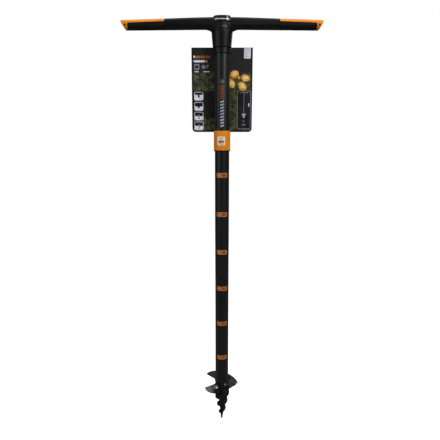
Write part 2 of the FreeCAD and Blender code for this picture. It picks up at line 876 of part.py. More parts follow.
def pilot_screw():
    """Forged screw: a slim cone with a thick right-hand thread that fades towards the tip."""
    body = new_body("PilotForm")
    shank = "(Sizes.shaft_radius - Sizes.shaft_wall - Sizes.slack)"
    points = [
        ("0", "0"),
        ("Sizes.screw_cone * Sizes.pilot_shoulder", "Sizes.pilot_shoulder"),
        (shank, "Sizes.pilot_shoulder"),
        (shank, "Sizes.shank_top"),
        ("0", "Sizes.shank_top"),
    ]
    revolve(body, outline(body, "PilotCore", "XZ_Plane", points))
    nose = "Sizes.thread_nose"
    start = "Sizes.thread_start"
    thread = [
        ("Sizes.thread_root", start + " - Sizes.thread_half"),
        ("Sizes.thread_crest - " + nose + " * 0.6", start + " - " + nose, nose + " * 1.1"),
        ("Sizes.thread_crest - " + nose + " * 0.6", start + " + " + nose),
        ("Sizes.thread_root", start + " + Sizes.thread_half"),
    ]
    section = outline(body, "ThreadSection", "XZ_Plane", thread)
    helix(body, section, "Sizes.thread_pitch", "3.15", "atan(Sizes.screw_cone)")
    waste = [
        ("0.3", "-3"),
        ("Sizes.screw_cone * 8.5 + 0.3", "8.5"),
        ("3.3", "13"),
        ("9.4", "22.5"),
        ("Sizes.auger_radius", "22.5"),
        ("Sizes.auger_radius", "-3"),
    ]
    revolve(body, outline(body, "TipWaste", "XZ_Plane", waste), "PartDesign::Groove")
    over = tube_profile(shank, "Sizes.auger_radius", "Sizes.pilot_shoulder", "Sizes.shank_top + 1")
    revolve(body, outline(body, "ThreadEnd", "XZ_Plane", over), "PartDesign::Groove")
    pin_hole = shank_pin_form("PilotPinHole", "Sizes.slack")
    keep(cut("Pilot", body, lock_drill("Pilot"), pin_hole), "pilot_screw")


# ---------------------------------------------------------------- depth collar


def depth_collar():
    """Orange sleeve on a dark liner that slides on the shaft, with a rubber ring for grip."""
    bore = "Sizes.shaft_radius + Sizes.slack"
    lip_top = "Sizes.collar_foot + Sizes.liner_lip"
    liner = turned(
        "Liner",
        [
            (bore, "Sizes.collar_foot"),
            ("Sizes.collar_radius - 0.2", "Sizes.collar_foot"),
            ("Sizes.collar_radius - 0.2", lip_top),
            ("Sizes.liner_radius", lip_top),
            ("Sizes.liner_radius", "Sizes.liner_top"),
            (bore, "Sizes.liner_top"),
        ],
    )
    keep(liner, "collar_liner")
    ring_foot = "Sizes.liner_top + Sizes.slack"
    ring = turned("GripRing", tube_profile(bore, "Sizes.liner_radius", ring_foot, "Sizes.grip_ring_top"))
    keep(ring, "collar_friction_ring")
    sleeve = turned(
        "CollarSleeve",
        [
            ("Sizes.collar_bore", lip_top + " + Sizes.slack"),
            ("Sizes.collar_radius", lip_top + " + Sizes.slack"),
            ("Sizes.collar_radius", "Sizes.collar_top"),
            ("Sizes.collar_mouth", "Sizes.collar_top"),
            ("Sizes.collar_mouth", "Sizes.grip_ring_top + Sizes.slack"),
            ("Sizes.collar_bore", "Sizes.grip_ring_top + Sizes.slack"),
        ],
    )
    rim = size("collar_radius")
    dress(sleeve, "Fillet", lambda spot: abs(math.hypot(spot.x, spot.y) - rim) < 1e-3, Radius="0.5")
    keep(sleeve, "collar_sleeve")


def collar_label():
    """Thin label with round corners on the front of the collar."""
    ring = turned(
        "LabelRing",
        tube_profile(
            "Sizes.collar_radius",
            "Sizes.collar_radius + Sizes.label_thick",
            "Sizes.label_foot",
            "Sizes.label_top",
        ),
    )
    body = new_body("LabelForm")
    left = "Sizes.label_x - Sizes.label_half_width"
    right = "Sizes.label_x + Sizes.label_half_width"
    sketch = outline(
        body,
        "LabelOutline",
        "XZ_Plane",
        [
            (left, "Sizes.label_foot"),
            (right, "Sizes.label_foot"),
            (right, "Sizes.label_top"),
            (left, "Sizes.label_top"),
        ],
    )
    pad(body, sketch, "Sizes.collar_radius * 2")
    x = size("label_x")
    half = size("label_half_width")
    ends = (size("label_foot"), size("label_top"))

    def corner(spot):
        return abs(abs(spot.x - x) - half) < 1e-3 and min(abs(spot.z - end) for end in ends) < 1e-3

    dress(body, "Fillet", corner, Radius="Sizes.label_corner")
    keep(common("Label", ring, body), "collar_label")


# ---------------------------------------------------------------- retail card


def retail_card():
    """Card behind the shaft, with round lower corners and a notch that clears the column."""
    body = new_body("Card")
    points = [
        ("-Sizes.card_half", "Sizes.card_foot"),
        ("Sizes.card_half", "Sizes.card_foot"),
        ("Sizes.card_half", "Sizes.card_top"),
        ("Sizes.notch_half", "Sizes.card_top"),
        ("Sizes.notch_half", "Sizes.notch_foot"),
        ("-Sizes.notch_half", "Sizes.notch_foot"),
        ("-Sizes.notch_half", "Sizes.card_top"),
        ("-Sizes.card_half", "Sizes.card_top"),
    ]
    level = "-(Sizes.card_face + Sizes.card_thick)"
    pad(body, outline(body, "CardOutline", "XZ_Plane", points, level=level), "Sizes.card_thick")
    half = size("card_half")
    foot = size("card_foot")
    dress(
        body,
        "Fillet",
        lambda spot: abs(abs(spot.x) - half) < 1e-3 and abs(spot.z - foot) < 1e-3,
        Radius="Sizes.card_corner",
    )
    keep(body, "retail_card")
    low = ("-Sizes.tape_half", "Sizes.shaft_radius / 2", "Sizes.tape_foot")
    high = ("Sizes.tape_half", "Sizes.card_face", "Sizes.tape_top")
    clear = cylinder("TapeCut", "Sizes.shaft_radius + 0.02", "Sizes.ring_foot")
    keep(cut("Tape", box("TapeBlock", low, high), clear), "card_foam_pad")


# ---------------------------------------------------------------- build, check and write


def build():
    form = bar_form()
    rib = tongue()
    end_pieces(form, rib)
    handle_body(form, rib)
    top_cap()
    front_badge()
    core_tube()
    socket_bushing()
    group("handle_screws", back_screw("screw_low"), back_screw("screw_high"))
    shaft_tube()
    hub()
    auger_flight()
    cutter("cutter_right", "-Sizes.plate * 1.5", 0)
    cutter("cutter_left", "-Sizes.plate / 2", 180)
    cutter_fastenings()
    head_lock_bolt()
    keep(shank_pin_form("ShankPin"), "shank_pin")
    pilot_screw()
    depth_collar()
    collar_label()
    retail_card()
    doc.recompute()


def check():
    """Stop if any object failed or any sub-part is not a sound solid."""
    for obj in doc.Objects:
        if "Invalid" in obj.State or "Error" in obj.State:
            raise RuntimeError("%s failed: %s" % (obj.Name, obj.State))
    for name, obj in nodes.items():
        shape = obj.Shape
        if shape.isNull() or not shape.isValid() or not shape.Solids:
            raise RuntimeError("%s has no sound shape" % name)


def write():
    os.makedirs("parts", exist_ok=True)
    for name, obj in nodes.items():
        obj.Shape.exportStep("parts/%s.step" % name)


build()
check()
write()
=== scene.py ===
import math

import bmesh
import bpy
import numpy as np
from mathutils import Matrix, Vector, noise


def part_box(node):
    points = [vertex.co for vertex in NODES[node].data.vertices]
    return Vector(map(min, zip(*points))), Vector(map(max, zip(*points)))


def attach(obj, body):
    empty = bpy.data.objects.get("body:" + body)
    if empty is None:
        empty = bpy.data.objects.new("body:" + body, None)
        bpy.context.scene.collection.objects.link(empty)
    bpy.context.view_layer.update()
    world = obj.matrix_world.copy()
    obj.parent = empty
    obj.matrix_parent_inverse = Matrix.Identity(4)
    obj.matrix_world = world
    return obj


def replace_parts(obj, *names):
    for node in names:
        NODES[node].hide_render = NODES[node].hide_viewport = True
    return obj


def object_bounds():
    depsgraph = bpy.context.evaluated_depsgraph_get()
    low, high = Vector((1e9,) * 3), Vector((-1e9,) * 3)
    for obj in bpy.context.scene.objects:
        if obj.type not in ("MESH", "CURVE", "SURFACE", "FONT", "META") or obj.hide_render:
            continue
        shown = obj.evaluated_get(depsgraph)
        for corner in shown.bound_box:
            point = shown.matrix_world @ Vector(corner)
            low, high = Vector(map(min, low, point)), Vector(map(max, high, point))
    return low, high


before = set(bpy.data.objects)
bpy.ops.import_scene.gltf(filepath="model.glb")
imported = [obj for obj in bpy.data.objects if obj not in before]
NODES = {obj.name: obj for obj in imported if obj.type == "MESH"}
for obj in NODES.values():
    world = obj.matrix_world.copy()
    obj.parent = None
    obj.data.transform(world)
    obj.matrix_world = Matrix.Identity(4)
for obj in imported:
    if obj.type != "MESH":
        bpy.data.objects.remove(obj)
CAD_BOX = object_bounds()

# Looks of a hand auger for post holes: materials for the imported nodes, and pieces that only the eye needs.
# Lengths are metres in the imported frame: +Z up the shaft, crossbar along X, the label side towards -Y.

MM = 0.001
TALL = CAD_BOX[1].z - CAD_BOX[0].z
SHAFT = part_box("shaft_tube")[1].x
CARD_LOW, CARD_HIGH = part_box("retail_card")
LABEL_LOW, LABEL_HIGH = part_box("collar_label")
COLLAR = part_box("collar_sleeve")[1].x
CAP_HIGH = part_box("top_cap")[1]
CAP_FOOT = CAP_HIGH.z - 12.4 * MM

# The flight lies in a plane that crosses the shaft's axis at this level and falls towards +X at this slope.
HEAD_LEVEL = 117 * MM
SLOPE = math.radians(14.6)


# ---------------------------------------------------------------- materials


def tone(red, green, blue):
    """Linear colour of an sRGB colour given from 0 to 255."""
    shares = [channel / 255 for channel in (red, green, blue)]
    return [c / 12.92 if c <= 0.04045 else ((c + 0.055) / 1.055) ** 2.4 for c in shares] + [1.0]


class Finish:
    """One node material, built around a Principled shader. Textures use the frame's own coordinates."""

    def __init__(self, name, **settings):
        self.material = bpy.data.materials.new(name)
        self.material.use_nodes = True
        self.tree = self.material.node_tree
        self.tree.nodes.clear()
        self.shader = self.tree.nodes.new("ShaderNodeBsdfPrincipled")
        output = self.tree.nodes.new("ShaderNodeOutputMaterial")
        self.tree.links.new(self.shader.outputs[0], output.inputs["Surface"])
        self.place = self.tree.nodes.new("ShaderNodeTexCoord").outputs["Object"]
        self.normal = None
        for key, value in settings.items():
            self.set(self.shader, key.replace("_", " "), value)

    def set(self, node, key, value):
        socket = node.inputs[key]
        if isinstance(value, bpy.types.NodeSocket):
            self.tree.links.new(value, socket)
        else:
            socket.default_value = value

    def add(self, kind, out=0, options=None, **inputs):
        """A new node. A key such as A_B sets the input named A B, and i0 the input numbered 0."""
        node = self.tree.nodes.new("ShaderNode" + kind)
        for key, value in (options or {}).items():
            setattr(node, key, value)
        for key, value in inputs.items():
            numbered = key[0] == "i" and key[1:].isdigit()
            self.set(node, int(key[1:]) if numbered else key.replace("_", " "), value)
        return node.outputs[out]

    def stretched(self, x=1.0, y=1.0, z=1.0):
        return self.add("Mapping", Vector=self.place, Scale=(x, y, z))

    def noise(self, scale, detail=3.0, rough=0.55, vector=None):
        vector = vector or self.place
        return self.add("TexNoise", Vector=vector, Scale=scale, Detail=detail, Roughness=rough)

    def cells(self, scale):
        return self.add("TexVoronoi", Vector=self.place, Scale=scale)

    def math(self, operation, first, second=0.0):
        return self.add("Math", options={"operation": operation}, i0=first, i1=second)

    def span(self, value, low, high, to_low=0.0, to_high=1.0):
        """Value carried from one span to another, smooth and clamped."""
        node = self.tree.nodes.new("ShaderNodeMapRange")
        node.interpolation_type = "SMOOTHSTEP"
        settings = {"Value": value, "From Min": low, "From Max": high, "To Min": to_low, "To Max": to_high}
        for key, setting in settings.items():
            self.set(node, key, setting)
        return node.outputs[0]

    def mix(self, share, first, second):
        node = self.tree.nodes.new("ShaderNodeMix")
        node.data_type = "RGBA"
        for index, value in ((0, share), (6, first), (7, second)):
            self.set(node, index, value)
        return node.outputs[2]

    def axis(self, letter):
        return self.add("SeparateXYZ", "XYZ".index(letter), i0=self.place)

    def bump(self, height, depth, strength=1.0):
        """Lay one more layer of relief over the ones before it. depth is in metres."""
        node = self.tree.nodes.new("ShaderNodeBump")
        node.inputs["Distance"].default_value = depth
        node.inputs["Strength"].default_value = strength
        self.set(node, "Height", height)
        if self.normal:
            self.set(node, "Normal", self.normal)
        self.normal = node.outputs[0]
        self.set(self.shader, "Normal", self.normal)

    def colour(self, value):
        self.set(self.shader, "Base Color", value)

    def roughness(self, value):
        self.set(self.shader, "Roughness", value)


def moulded(name, base, light, rough):
    """Moulded plastic with a spark-eroded grain, faint flow marks and rubbed patches."""
    finish = Finish(name, Specular_IOR_Level=0.2)
    flow = finish.noise(9.0, 4.0, 0.6, finish.stretched(1.0, 2.5, 2.5))
    rubbed = finish.span(finish.noise(38.0, 6.0, 0.7), 0.52, 0.72)
    tinted = finish.mix(finish.span(flow, 0.3, 0.75), base, light)
    finish.colour(finish.mix(finish.math("MULTIPLY", rubbed, 0.35), tinted, light))
    finish.roughness(finish.span(finish.math("ADD", flow, rubbed), 0.2, 1.4, rough - 0.06, rough + 0.12))
    finish.bump(finish.noise(2600.0, 2.0), 0.00005, 0.45)
    finish.bump(finish.noise(140.0, 2.0), 0.00006, 0.25)
    return finish


def black_moulding():
    """The handle's plastic, with the seam of its mould along the middle."""
    finish = moulded("black_moulding", tone(9, 9, 10), tone(17, 17, 18), 0.46)
    seam = finish.span(finish.math("ABSOLUTE", finish.axis("Y")), 0.0, 0.35 * MM, 1.0, 0.0)
    finish.bump(seam, 0.00015, 0.8)
    return finish.material


def soft_grip():
    """Rubber with a fine pebbled skin, dull and slightly dusty in its hollows."""
    finish = Finish("soft_grip", Specular_IOR_Level=0.2)
    dust = finish.span(finish.noise(60.0, 5.0, 0.7), 0.45, 0.8)
    finish.colour(finish.mix(finish.math("MULTIPLY", dust, 0.5), tone(7, 7, 8), tone(19, 19, 19)))
    finish.roughness(finish.span(dust, 0.0, 1.0, 0.62, 0.8))
    finish.bump(finish.cells(1500.0), 0.00007, 0.5)
    return finish.material


def orange_plastic():
    """Satin orange moulding with light scuffs, and painted shade: darker where the surface turns away from
    the eye.
    """
    finish = Finish("orange_plastic", Specular_IOR_Level=0.22)
    patch = finish.noise(22.0, 4.0, 0.6)
    scuff = finish.noise(900.0, 4.0, 0.7, finish.stretched(0.12, 0.3, 1.0))
    scuffed = finish.math("MULTIPLY", finish.span(scuff, 0.62, 0.7), finish.span(patch, 0.45, 0.65))
    body = finish.mix(finish.span(patch, 0.3, 0.7), tone(212, 124, 12), tone(224, 138, 24))
    # Painted shade: the orange darkens where the surface turns away from the eye.
    shade_facing = finish.add("LayerWeight", 1, Blend=0.35)
    edge = finish.mix(finish.span(shade_facing, 0.3, 1.0, 0.0, 0.4), body, tone(158, 76, 10))
    finish.colour(finish.mix(finish.math("MULTIPLY", scuffed, 0.35), edge, tone(242, 186, 120)))
    finish.roughness(finish.span(scuffed, 0.0, 1.0, 0.36, 0.55))
    finish.bump(finish.noise(2400.0, 2.0), 0.00004, 0.4)
    finish.bump(scuffed, 0.00002, 0.3)
    return finish.material


def dark_cap():
    """Smooth black cap with fine upright scratches, and a painted highlight: a light grey, slightly metallic
    band around its waist.
    """
    finish = Finish("dark_cap", Specular_IOR_Level=0.5)
    # Painted highlight: the cap is coloured light grey in a thin band at this height.
    highlight_level = CAP_FOOT + 4.6 * MM
    off = finish.math("ABSOLUTE", finish.math("SUBTRACT", finish.axis("Z"), highlight_level))
    band = finish.span(off, 0.9 * MM, 1.3 * MM, 1.0, 0.0)
    swirl = finish.noise(700.0, 3.0, 0.6, finish.stretched(1.0, 1.0, 0.15))
    body = finish.mix(finish.span(swirl, 0.4, 0.7), tone(15, 15, 17), tone(27, 27, 31))
    finish.colour(finish.mix(band, body, tone(196, 196, 204)))
    finish.set(finish.shader, "Metallic", finish.math("MULTIPLY", band, 0.2))
    finish.roughness(finish.span(swirl, 0.3, 0.8, 0.24, 0.38))
    finish.bump(swirl, 0.00003, 0.3)
    return finish.material


def powder_coat():
    """Satin black paint with an orange-peel skin, fine lengthwise scratches and duller rub bands."""
    finish = Finish("powder_coat", Specular_IOR_Level=0.28)
    cloud = finish.noise(11.0, 4.0, 0.6, finish.stretched(1.0, 1.0, 0.35))
    scratch = finish.noise(1500.0, 3.0, 0.7, finish.stretched(1.0, 1.0, 0.02))
    marked = finish.math("MULTIPLY", finish.span(scratch, 0.66, 0.72), finish.span(cloud, 0.42, 0.6))
    body = finish.mix(finish.span(cloud, 0.3, 0.7), tone(14, 14, 15), tone(21, 21, 23))
    finish.colour(finish.mix(finish.math("MULTIPLY", marked, 0.5), body, tone(72, 72, 74)))
    finish.roughness(finish.span(cloud, 0.3, 0.7, 0.34, 0.46))
    finish.bump(finish.noise(520.0, 2.0), 0.00008, 0.35)
    finish.bump(marked, 0.00002, 0.4)
    return finish.material


def head_coat():
    """Thin dark coat on forged steel: pitted, and rubbed to grey in patches."""
    finish = Finish("head_coat", Specular_IOR_Level=0.12)
    pits = finish.cells(420.0)
    patch = finish.noise(75.0, 6.0, 0.7)
    fine = finish.noise(900.0, 4.0, 0.65)
    bare = finish.span(finish.math("ADD", patch, finish.math("MULTIPLY", fine, 0.25)), 0.66, 0.78)
    coat = finish.mix(finish.span(patch, 0.3, 0.7), tone(10, 10, 12), tone(21, 21, 24))
    finish.colour(finish.mix(bare, coat, tone(44, 44, 47)))
    finish.set(finish.shader, "Metallic", finish.math("MULTIPLY", bare, 0.2))
    finish.roughness(finish.span(fine, 0.3, 0.7, 0.46, 0.62))
    finish.bump(finish.span(pits, 0.0, 0.5), 0.00008, 0.3)
    finish.bump(fine, 0.00008, 0.35)
    return finish.material


def ground_steel(name, angle, base, streaked, bare_from=0.0):
    """Plate with grinding streaks that run across it at an angle, and a faint heat tint.

    Nearer the middle than bare_from along X it turns dark grey and barely metallic.
    """
    finish = Finish(name)
    turned = finish.add("Mapping", Vector=finish.place, Rotation=(0, 0, angle), Scale=(1.0, 0.06, 1.0))
    streak = finish.noise(2300.0, 4.0, 0.7, turned)
    patch = finish.noise(48.0, 5.0, 0.65)
    ground = finish.mix(finish.span(streak, 0.3, 0.75), base, streaked)
    tinted = finish.mix(finish.span(patch, 0.5, 0.85, 0.0, 0.5), ground, tone(122, 118, 104))
    ragged = finish.math("MULTIPLY", patch, 8 * MM)
    reach = finish.math("ADD", finish.math("ABSOLUTE", finish.axis("X")), ragged)
    bare = finish.span(reach, bare_from, bare_from + 14 * MM) if bare_from else 1.0
    finish.colour(finish.mix(bare, tone(22, 23, 27), tinted))
    finish.set(finish.shader, "Metallic", finish.math("MULTIPLY", bare, 0.5))
    finish.set(finish.shader, "Specular IOR Level", finish.math("MULTIPLY", bare, 0.5))
    finish.roughness(finish.span(streak, 0.25, 0.8, 0.3, 0.48))
    finish.bump(streak, 0.00003, 0.4)
    return finish.material


def zinc(name, low, high, shaded_from=1.0):
    """Zinc plate with a faint blue and yellow cast and small flats in its grain.

    Past the given distance along X it is painted shade: dark grey, dull and barely metallic.
    """
    finish = Finish(name)
    cast = finish.noise(160.0, 3.0, 0.6)
    flake = finish.cells(700.0)
    # Painted shade: past this distance along X the zinc is coloured dark grey.
    shaded_share = finish.span(finish.axis("X"), shaded_from, shaded_from + MM)
    body = finish.mix(finish.span(cast, 0.35, 0.7), low, high)
    finish.colour(finish.mix(shaded_share, body, tone(24, 24, 26)))
    finish.set(finish.shader, "Metallic", finish.span(shaded_share, 0.0, 1.0, 1.0, 0.1))
    shine = finish.span(flake, 0.0, 0.9, 0.26, 0.4)
    finish.roughness(finish.math("ADD", shine, finish.math("MULTIPLY", shaded_share, 0.3)))
    finish.set(finish.shader, "Specular IOR Level", finish.span(shaded_share, 0.0, 1.0, 0.5, 0.08))
    finish.bump(finish.noise(1300.0, 3.0), 0.00003, 0.35)
    return finish.material


def film(name, base, second, rough=0.32):
    """Printed film or ink: nearly flat, with a fine screen and slight fading."""
    finish = Finish(name, Specular_IOR_Level=0.4)
    fade = finish.noise(70.0, 4.0, 0.6)
    screen = finish.cells(2600.0)
    body = finish.mix(finish.span(fade, 0.3, 0.75), base, second)
    finish.colour(finish.mix(finish.span(screen, 0.0, 0.6, 0.12, 0.0), body, second))
    finish.roughness(finish.span(fade, 0.3, 0.7, rough, rough + 0.12))
    finish.bump(screen, 0.00001, 0.3)
    return finish.material


def board():
    """Printed card: dark sky, a band of grass, dark soil and a black border, on a faint paper grain."""
    finish = Finish("card_board", Specular_IOR_Level=0.3, Coat_Weight=0.12, Coat_Roughness=0.25)
    across = finish.axis("X")
    up = finish.axis("Z")
    ragged = finish.math("ADD", up, finish.math("MULTIPLY", finish.noise(70.0, 5.0, 0.7), 26 * MM))
    top = CARD_HIGH.z
    blades = finish.noise(420.0, 6.0, 0.72, finish.stretched(1.6, 1.0, 0.7))
    clumps = finish.noise(85.0, 4.0, 0.6)
    green = finish.mix(finish.span(blades, 0.42, 0.7), tone(40, 46, 26), tone(128, 138, 80))
    green = finish.mix(finish.span(blades, 0.56, 0.68), green, tone(206, 210, 146))
    green = finish.mix(finish.span(clumps, 0.35, 0.65), tone(36, 38, 26), green)
    soil = finish.mix(finish.span(clumps, 0.35, 0.7), tone(19, 18, 18), tone(38, 33, 28))
    sky = finish.mix(finish.span(finish.noise(30.0), 0.3, 0.7), tone(27, 28, 30), tone(38, 38, 41))
    start = finish.span(ragged, top - 40 * MM, top - 56 * MM)
    end = finish.span(ragged, top - 84 * MM, top - 90 * MM)
    left = finish.span(across, 14 * MM, 12 * MM)
    low = finish.span(ragged, CARD_LOW.z + 52 * MM, CARD_LOW.z + 44 * MM)
    soiled = finish.math("MULTIPLY", finish.math("MULTIPLY", end, left), finish.math("SUBTRACT", 1.0, low))
    picture = finish.mix(start, sky, green)
    picture = finish.mix(soiled, picture, soil)
    edge = 4.5 * MM
    rim = finish.span(finish.math("ABSOLUTE", across), CARD_HIGH.x - edge, CARD_HIGH.x - edge + 0.8 * MM)
    foot = finish.span(up, CARD_LOW.z + edge, CARD_LOW.z + edge - 0.8 * MM)
    front = finish.span(finish.axis("Y"), CARD_LOW.y + 0.3 * MM, CARD_LOW.y + 0.2 * MM)
    printed = finish.mix(finish.math("MAXIMUM", rim, foot), picture, tone(14, 14, 15))
    fibre = finish.noise(600.0, 6.0, 0.7, finish.stretched(1.0, 1.0, 0.35))
    back = finish.mix(finish.span(fibre, 0.35, 0.7), tone(146, 132, 112), tone(176, 164, 144))
    finish.colour(finish.mix(front, back, printed))
    finish.roughness(finish.span(front, 0.0, 1.0, 0.85, 0.42))
    finish.bump(fibre, 0.00004, 0.35)
    return finish.material


def foam():
    """Open black foam."""
    finish = Finish("foam", Specular_IOR_Level=0.1)
    cells = finish.cells(1500.0)
    finish.colour(finish.mix(finish.span(cells, 0.1, 0.6), tone(14, 14, 14), tone(46, 46, 47)))
    finish.roughness(0.92)
    finish.bump(cells, 0.0003, 0.8)
    return finish.material


def fruit():
    """Printed warm shapes: mottled orange with brown specks."""
    finish = Finish("print_warm", Specular_IOR_Level=0.4)
    skin = finish.noise(260.0, 5.0, 0.7)
    patch = finish.noise(95.0, 3.0, 0.6)
    body = finish.mix(finish.span(patch, 0.38, 0.62), tone(204, 124, 38), tone(238, 188, 88))
    finish.colour(finish.mix(finish.span(skin, 0.56, 0.75), body, tone(150, 84, 28)))
    finish.roughness(0.4)
    finish.bump(skin, 0.00002, 0.3)
    return finish.material


MATERIALS = {
    "black_moulding": black_moulding(),
    "soft_grip": soft_grip(),
    "orange_plastic": orange_plastic(),
    "dark_cap": dark_cap(),
    # The badge's light grey is partly its own colour and partly painted highlight.
    "badge": film("badge_film", tone(58, 58, 62), tone(74, 74, 78), 0.5),
    "core_steel": ground_steel("core_steel", 0.0, tone(132, 132, 136), tone(176, 176, 180)),
    "powder_coat": powder_coat(),
    "head_coat": head_coat(),
    "cutter_steel": ground_steel("cutter_steel", 0.9, tone(50, 54, 52), tone(158, 164, 154), 23 * MM),
    "zinc": zinc("zinc", tone(176, 180, 192), tone(206, 202, 190)),
    # The bolt on the +X side gets painted shade; the other stays bright zinc.
    "zinc_bolts": zinc("zinc_bolts", tone(186, 190, 206), tone(214, 212, 206), 0.0),
    "zinc_dull": zinc("zinc_dull", tone(88, 88, 90), tone(126, 124, 118)),
    "oxide": zinc("oxide", tone(34, 34, 38), tone(58, 56, 60)),
    "label": film("label_film", tone(214, 204, 190), tone(228, 220, 210), 0.3),
    "liner_plastic": moulded("liner_plastic", tone(17, 17, 18), tone(27, 27, 29), 0.5).material,
    "card": board(),
    "foam": foam(),
    "ink_orange": film("ink_orange", tone(154, 82, 20), tone(172, 100, 32)),
    "ink_rust": film("ink_rust", tone(118, 58, 20), tone(136, 72, 28)),
    "ink_silver": film("ink_silver", tone(138, 144, 158), tone(172, 178, 192)),
    "ink_glow": film("ink_glow", tone(238, 194, 96), tone(248, 222, 142)),
    "ink_pale": film("ink_pale", tone(176, 122, 72), tone(192, 142, 92)),
    "ink_white": film("ink_white", tone(196, 200, 212), tone(226, 229, 236)),
    "ink_grey": film("ink_grey", tone(112, 116, 120), tone(138, 142, 146)),
    "ink_dark": film("ink_dark", tone(40, 26, 20), tone(56, 38, 28)),
    "ink_black": film("ink_black", tone(17, 17, 19), tone(26, 26, 29)),
    "ink_blue": film("ink_blue", tone(84, 128, 158), tone(140, 168, 184)),
    "ink_warm": fruit(),
}

NODE_FINISH = {
    "handle_body": "black_moulding",
    "handle_core_tube": "core_steel",
    "handle_screws": "zinc",
    "grip_shell_left": "orange_plastic",
    "grip_shell_right": "orange_plastic",
    "grip_pad_left": "soft_grip",
    "grip_pad_right": "soft_grip",
    "top_cap": "dark_cap",
    "front_badge": "badge",
    "socket_bushing": "black_moulding",
    "shaft_tube": "powder_coat",
    "head_hub": "head_coat",
    "auger_flight": "head_coat",
    "cutter_left": "cutter_steel",
    "cutter_right": "cutter_steel",
    "cutter_bolts": "zinc_bolts",
    "cutter_washers": "oxide",
    "cutter_nuts": "oxide",
    "head_lock_bolt": "zinc_dull",
    "shank_pin": "oxide",
    "pilot_screw": "head_coat",
    "collar_liner": "liner_plastic",
    "collar_friction_ring": "soft_grip",
    "collar_sleeve": "orange_plastic",
    "collar_label": "label",
    "retail_card": "card",
    "card_foam_pad": "foam",
}

for node, finish_name in NODE_FINISH.items():
    for material_slot in NODES[node].material_slots:
        material_slot.link = "OBJECT"
        material_slot.material = MATERIALS[finish_name]


# ---------------------------------------------------------------- pieces


def placed(name, mesh, body="digger"):
    """An object of a mesh that rides on a body."""
    mesh.name = name
    obj = bpy.data.objects.new(name, mesh)
    bpy.context.scene.collection.objects.link(obj)
    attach(obj, body)
    return obj


def piece(name, points, faces, finishes, body="digger", indices=None, crease=35.0):
    """A new mesh that rides on a body. indices picks a finish for each face."""
    mesh = bpy.data.meshes.new(name)
    mesh.from_pydata([tuple(point) for point in points], [], faces)
    mesh.validate()
    for finish_name in finishes:
        mesh.materials.append(MATERIALS[finish_name])
    if indices is not None:
        mesh.polygons.foreach_set("material_index", indices)
    mesh.shade_smooth()
    mesh.set_sharp_from_angle(angle=math.radians(crease))
    return placed(name, mesh, body)


def grid_faces(rows, columns, wrap):
    """Quads of a grid of rows by columns of points, closed across the columns if wrap."""
    faces = []
    for row in range(rows - 1):
        for column in range(columns if wrap else columns - 1):
            right = (column + 1) % columns
            low, high = row * columns, (row + 1) * columns
            faces.append((low + column, low + right, high + right, high + column))
    return faces


def thickened(sheet, start, count):
    """Faces of a closed solid: a sheet of count points from start on, the copy after it, and a rim."""
    sides = [tuple(start + index for index in face) for face in sheet]
    directed = {edge for face in sides for edge in zip(face, face[1:] + face[:1])}
    solid = sides + [tuple(index + count for index in reversed(face)) for face in sides]
    for first, second in sorted(directed):
        if (second, first) not in directed:
            solid.append((second, first, first + count, second + count))
    return solid


def rounded(left, foot, right, top, radius, steps=6):
    """Outline of a rectangle with round corners of so many steps each."""
    corners = ((right, top, 0), (left, top, 90), (left, foot, 180), (right, foot, 270))
    points = []
    for x, y, start in corners:
        inner_x = x - math.copysign(radius, x - (left + right) / 2)
        inner_y = y - math.copysign(radius, y - (foot + top) / 2)
        for step in range(steps + 1):
            angle = math.radians(start + 90 * step / steps)
            points.append((inner_x + radius * math.cos(angle), inner_y + radius * math.sin(angle)))
    return points


def tablet(level, half_width, half_height, radius, x=0.0, steps=6):
    """Rounded rectangle about a point."""
    return rounded(x - half_width, level - half_height, x + half_width, level + half_height, radius, steps)


def oval(x, y, half_width, half_height, tilt=0.0):
    """Outline of an oval about a point, turned by tilt in radians."""
    cos, sin = math.cos(tilt), math.sin(tilt)
    steps = 28
    points = []
    for step in range(steps):
        angle = math.tau * step / steps
        u = half_width * math.cos(angle)
        v = half_height * math.sin(angle)
        points.append((x + u * cos - v * sin, y + u * sin + v * cos))
    return points


# Heights of ink: every layer starts just under the surface, and each kind ends above the one before.
SKIN = -0.02 * MM
FILL = 0.018 * MM
RIM = 0.026 * MM
FIGURE = 0.034 * MM

# Widest flat of ink on a round surface.
BEND = 1.2 * MM


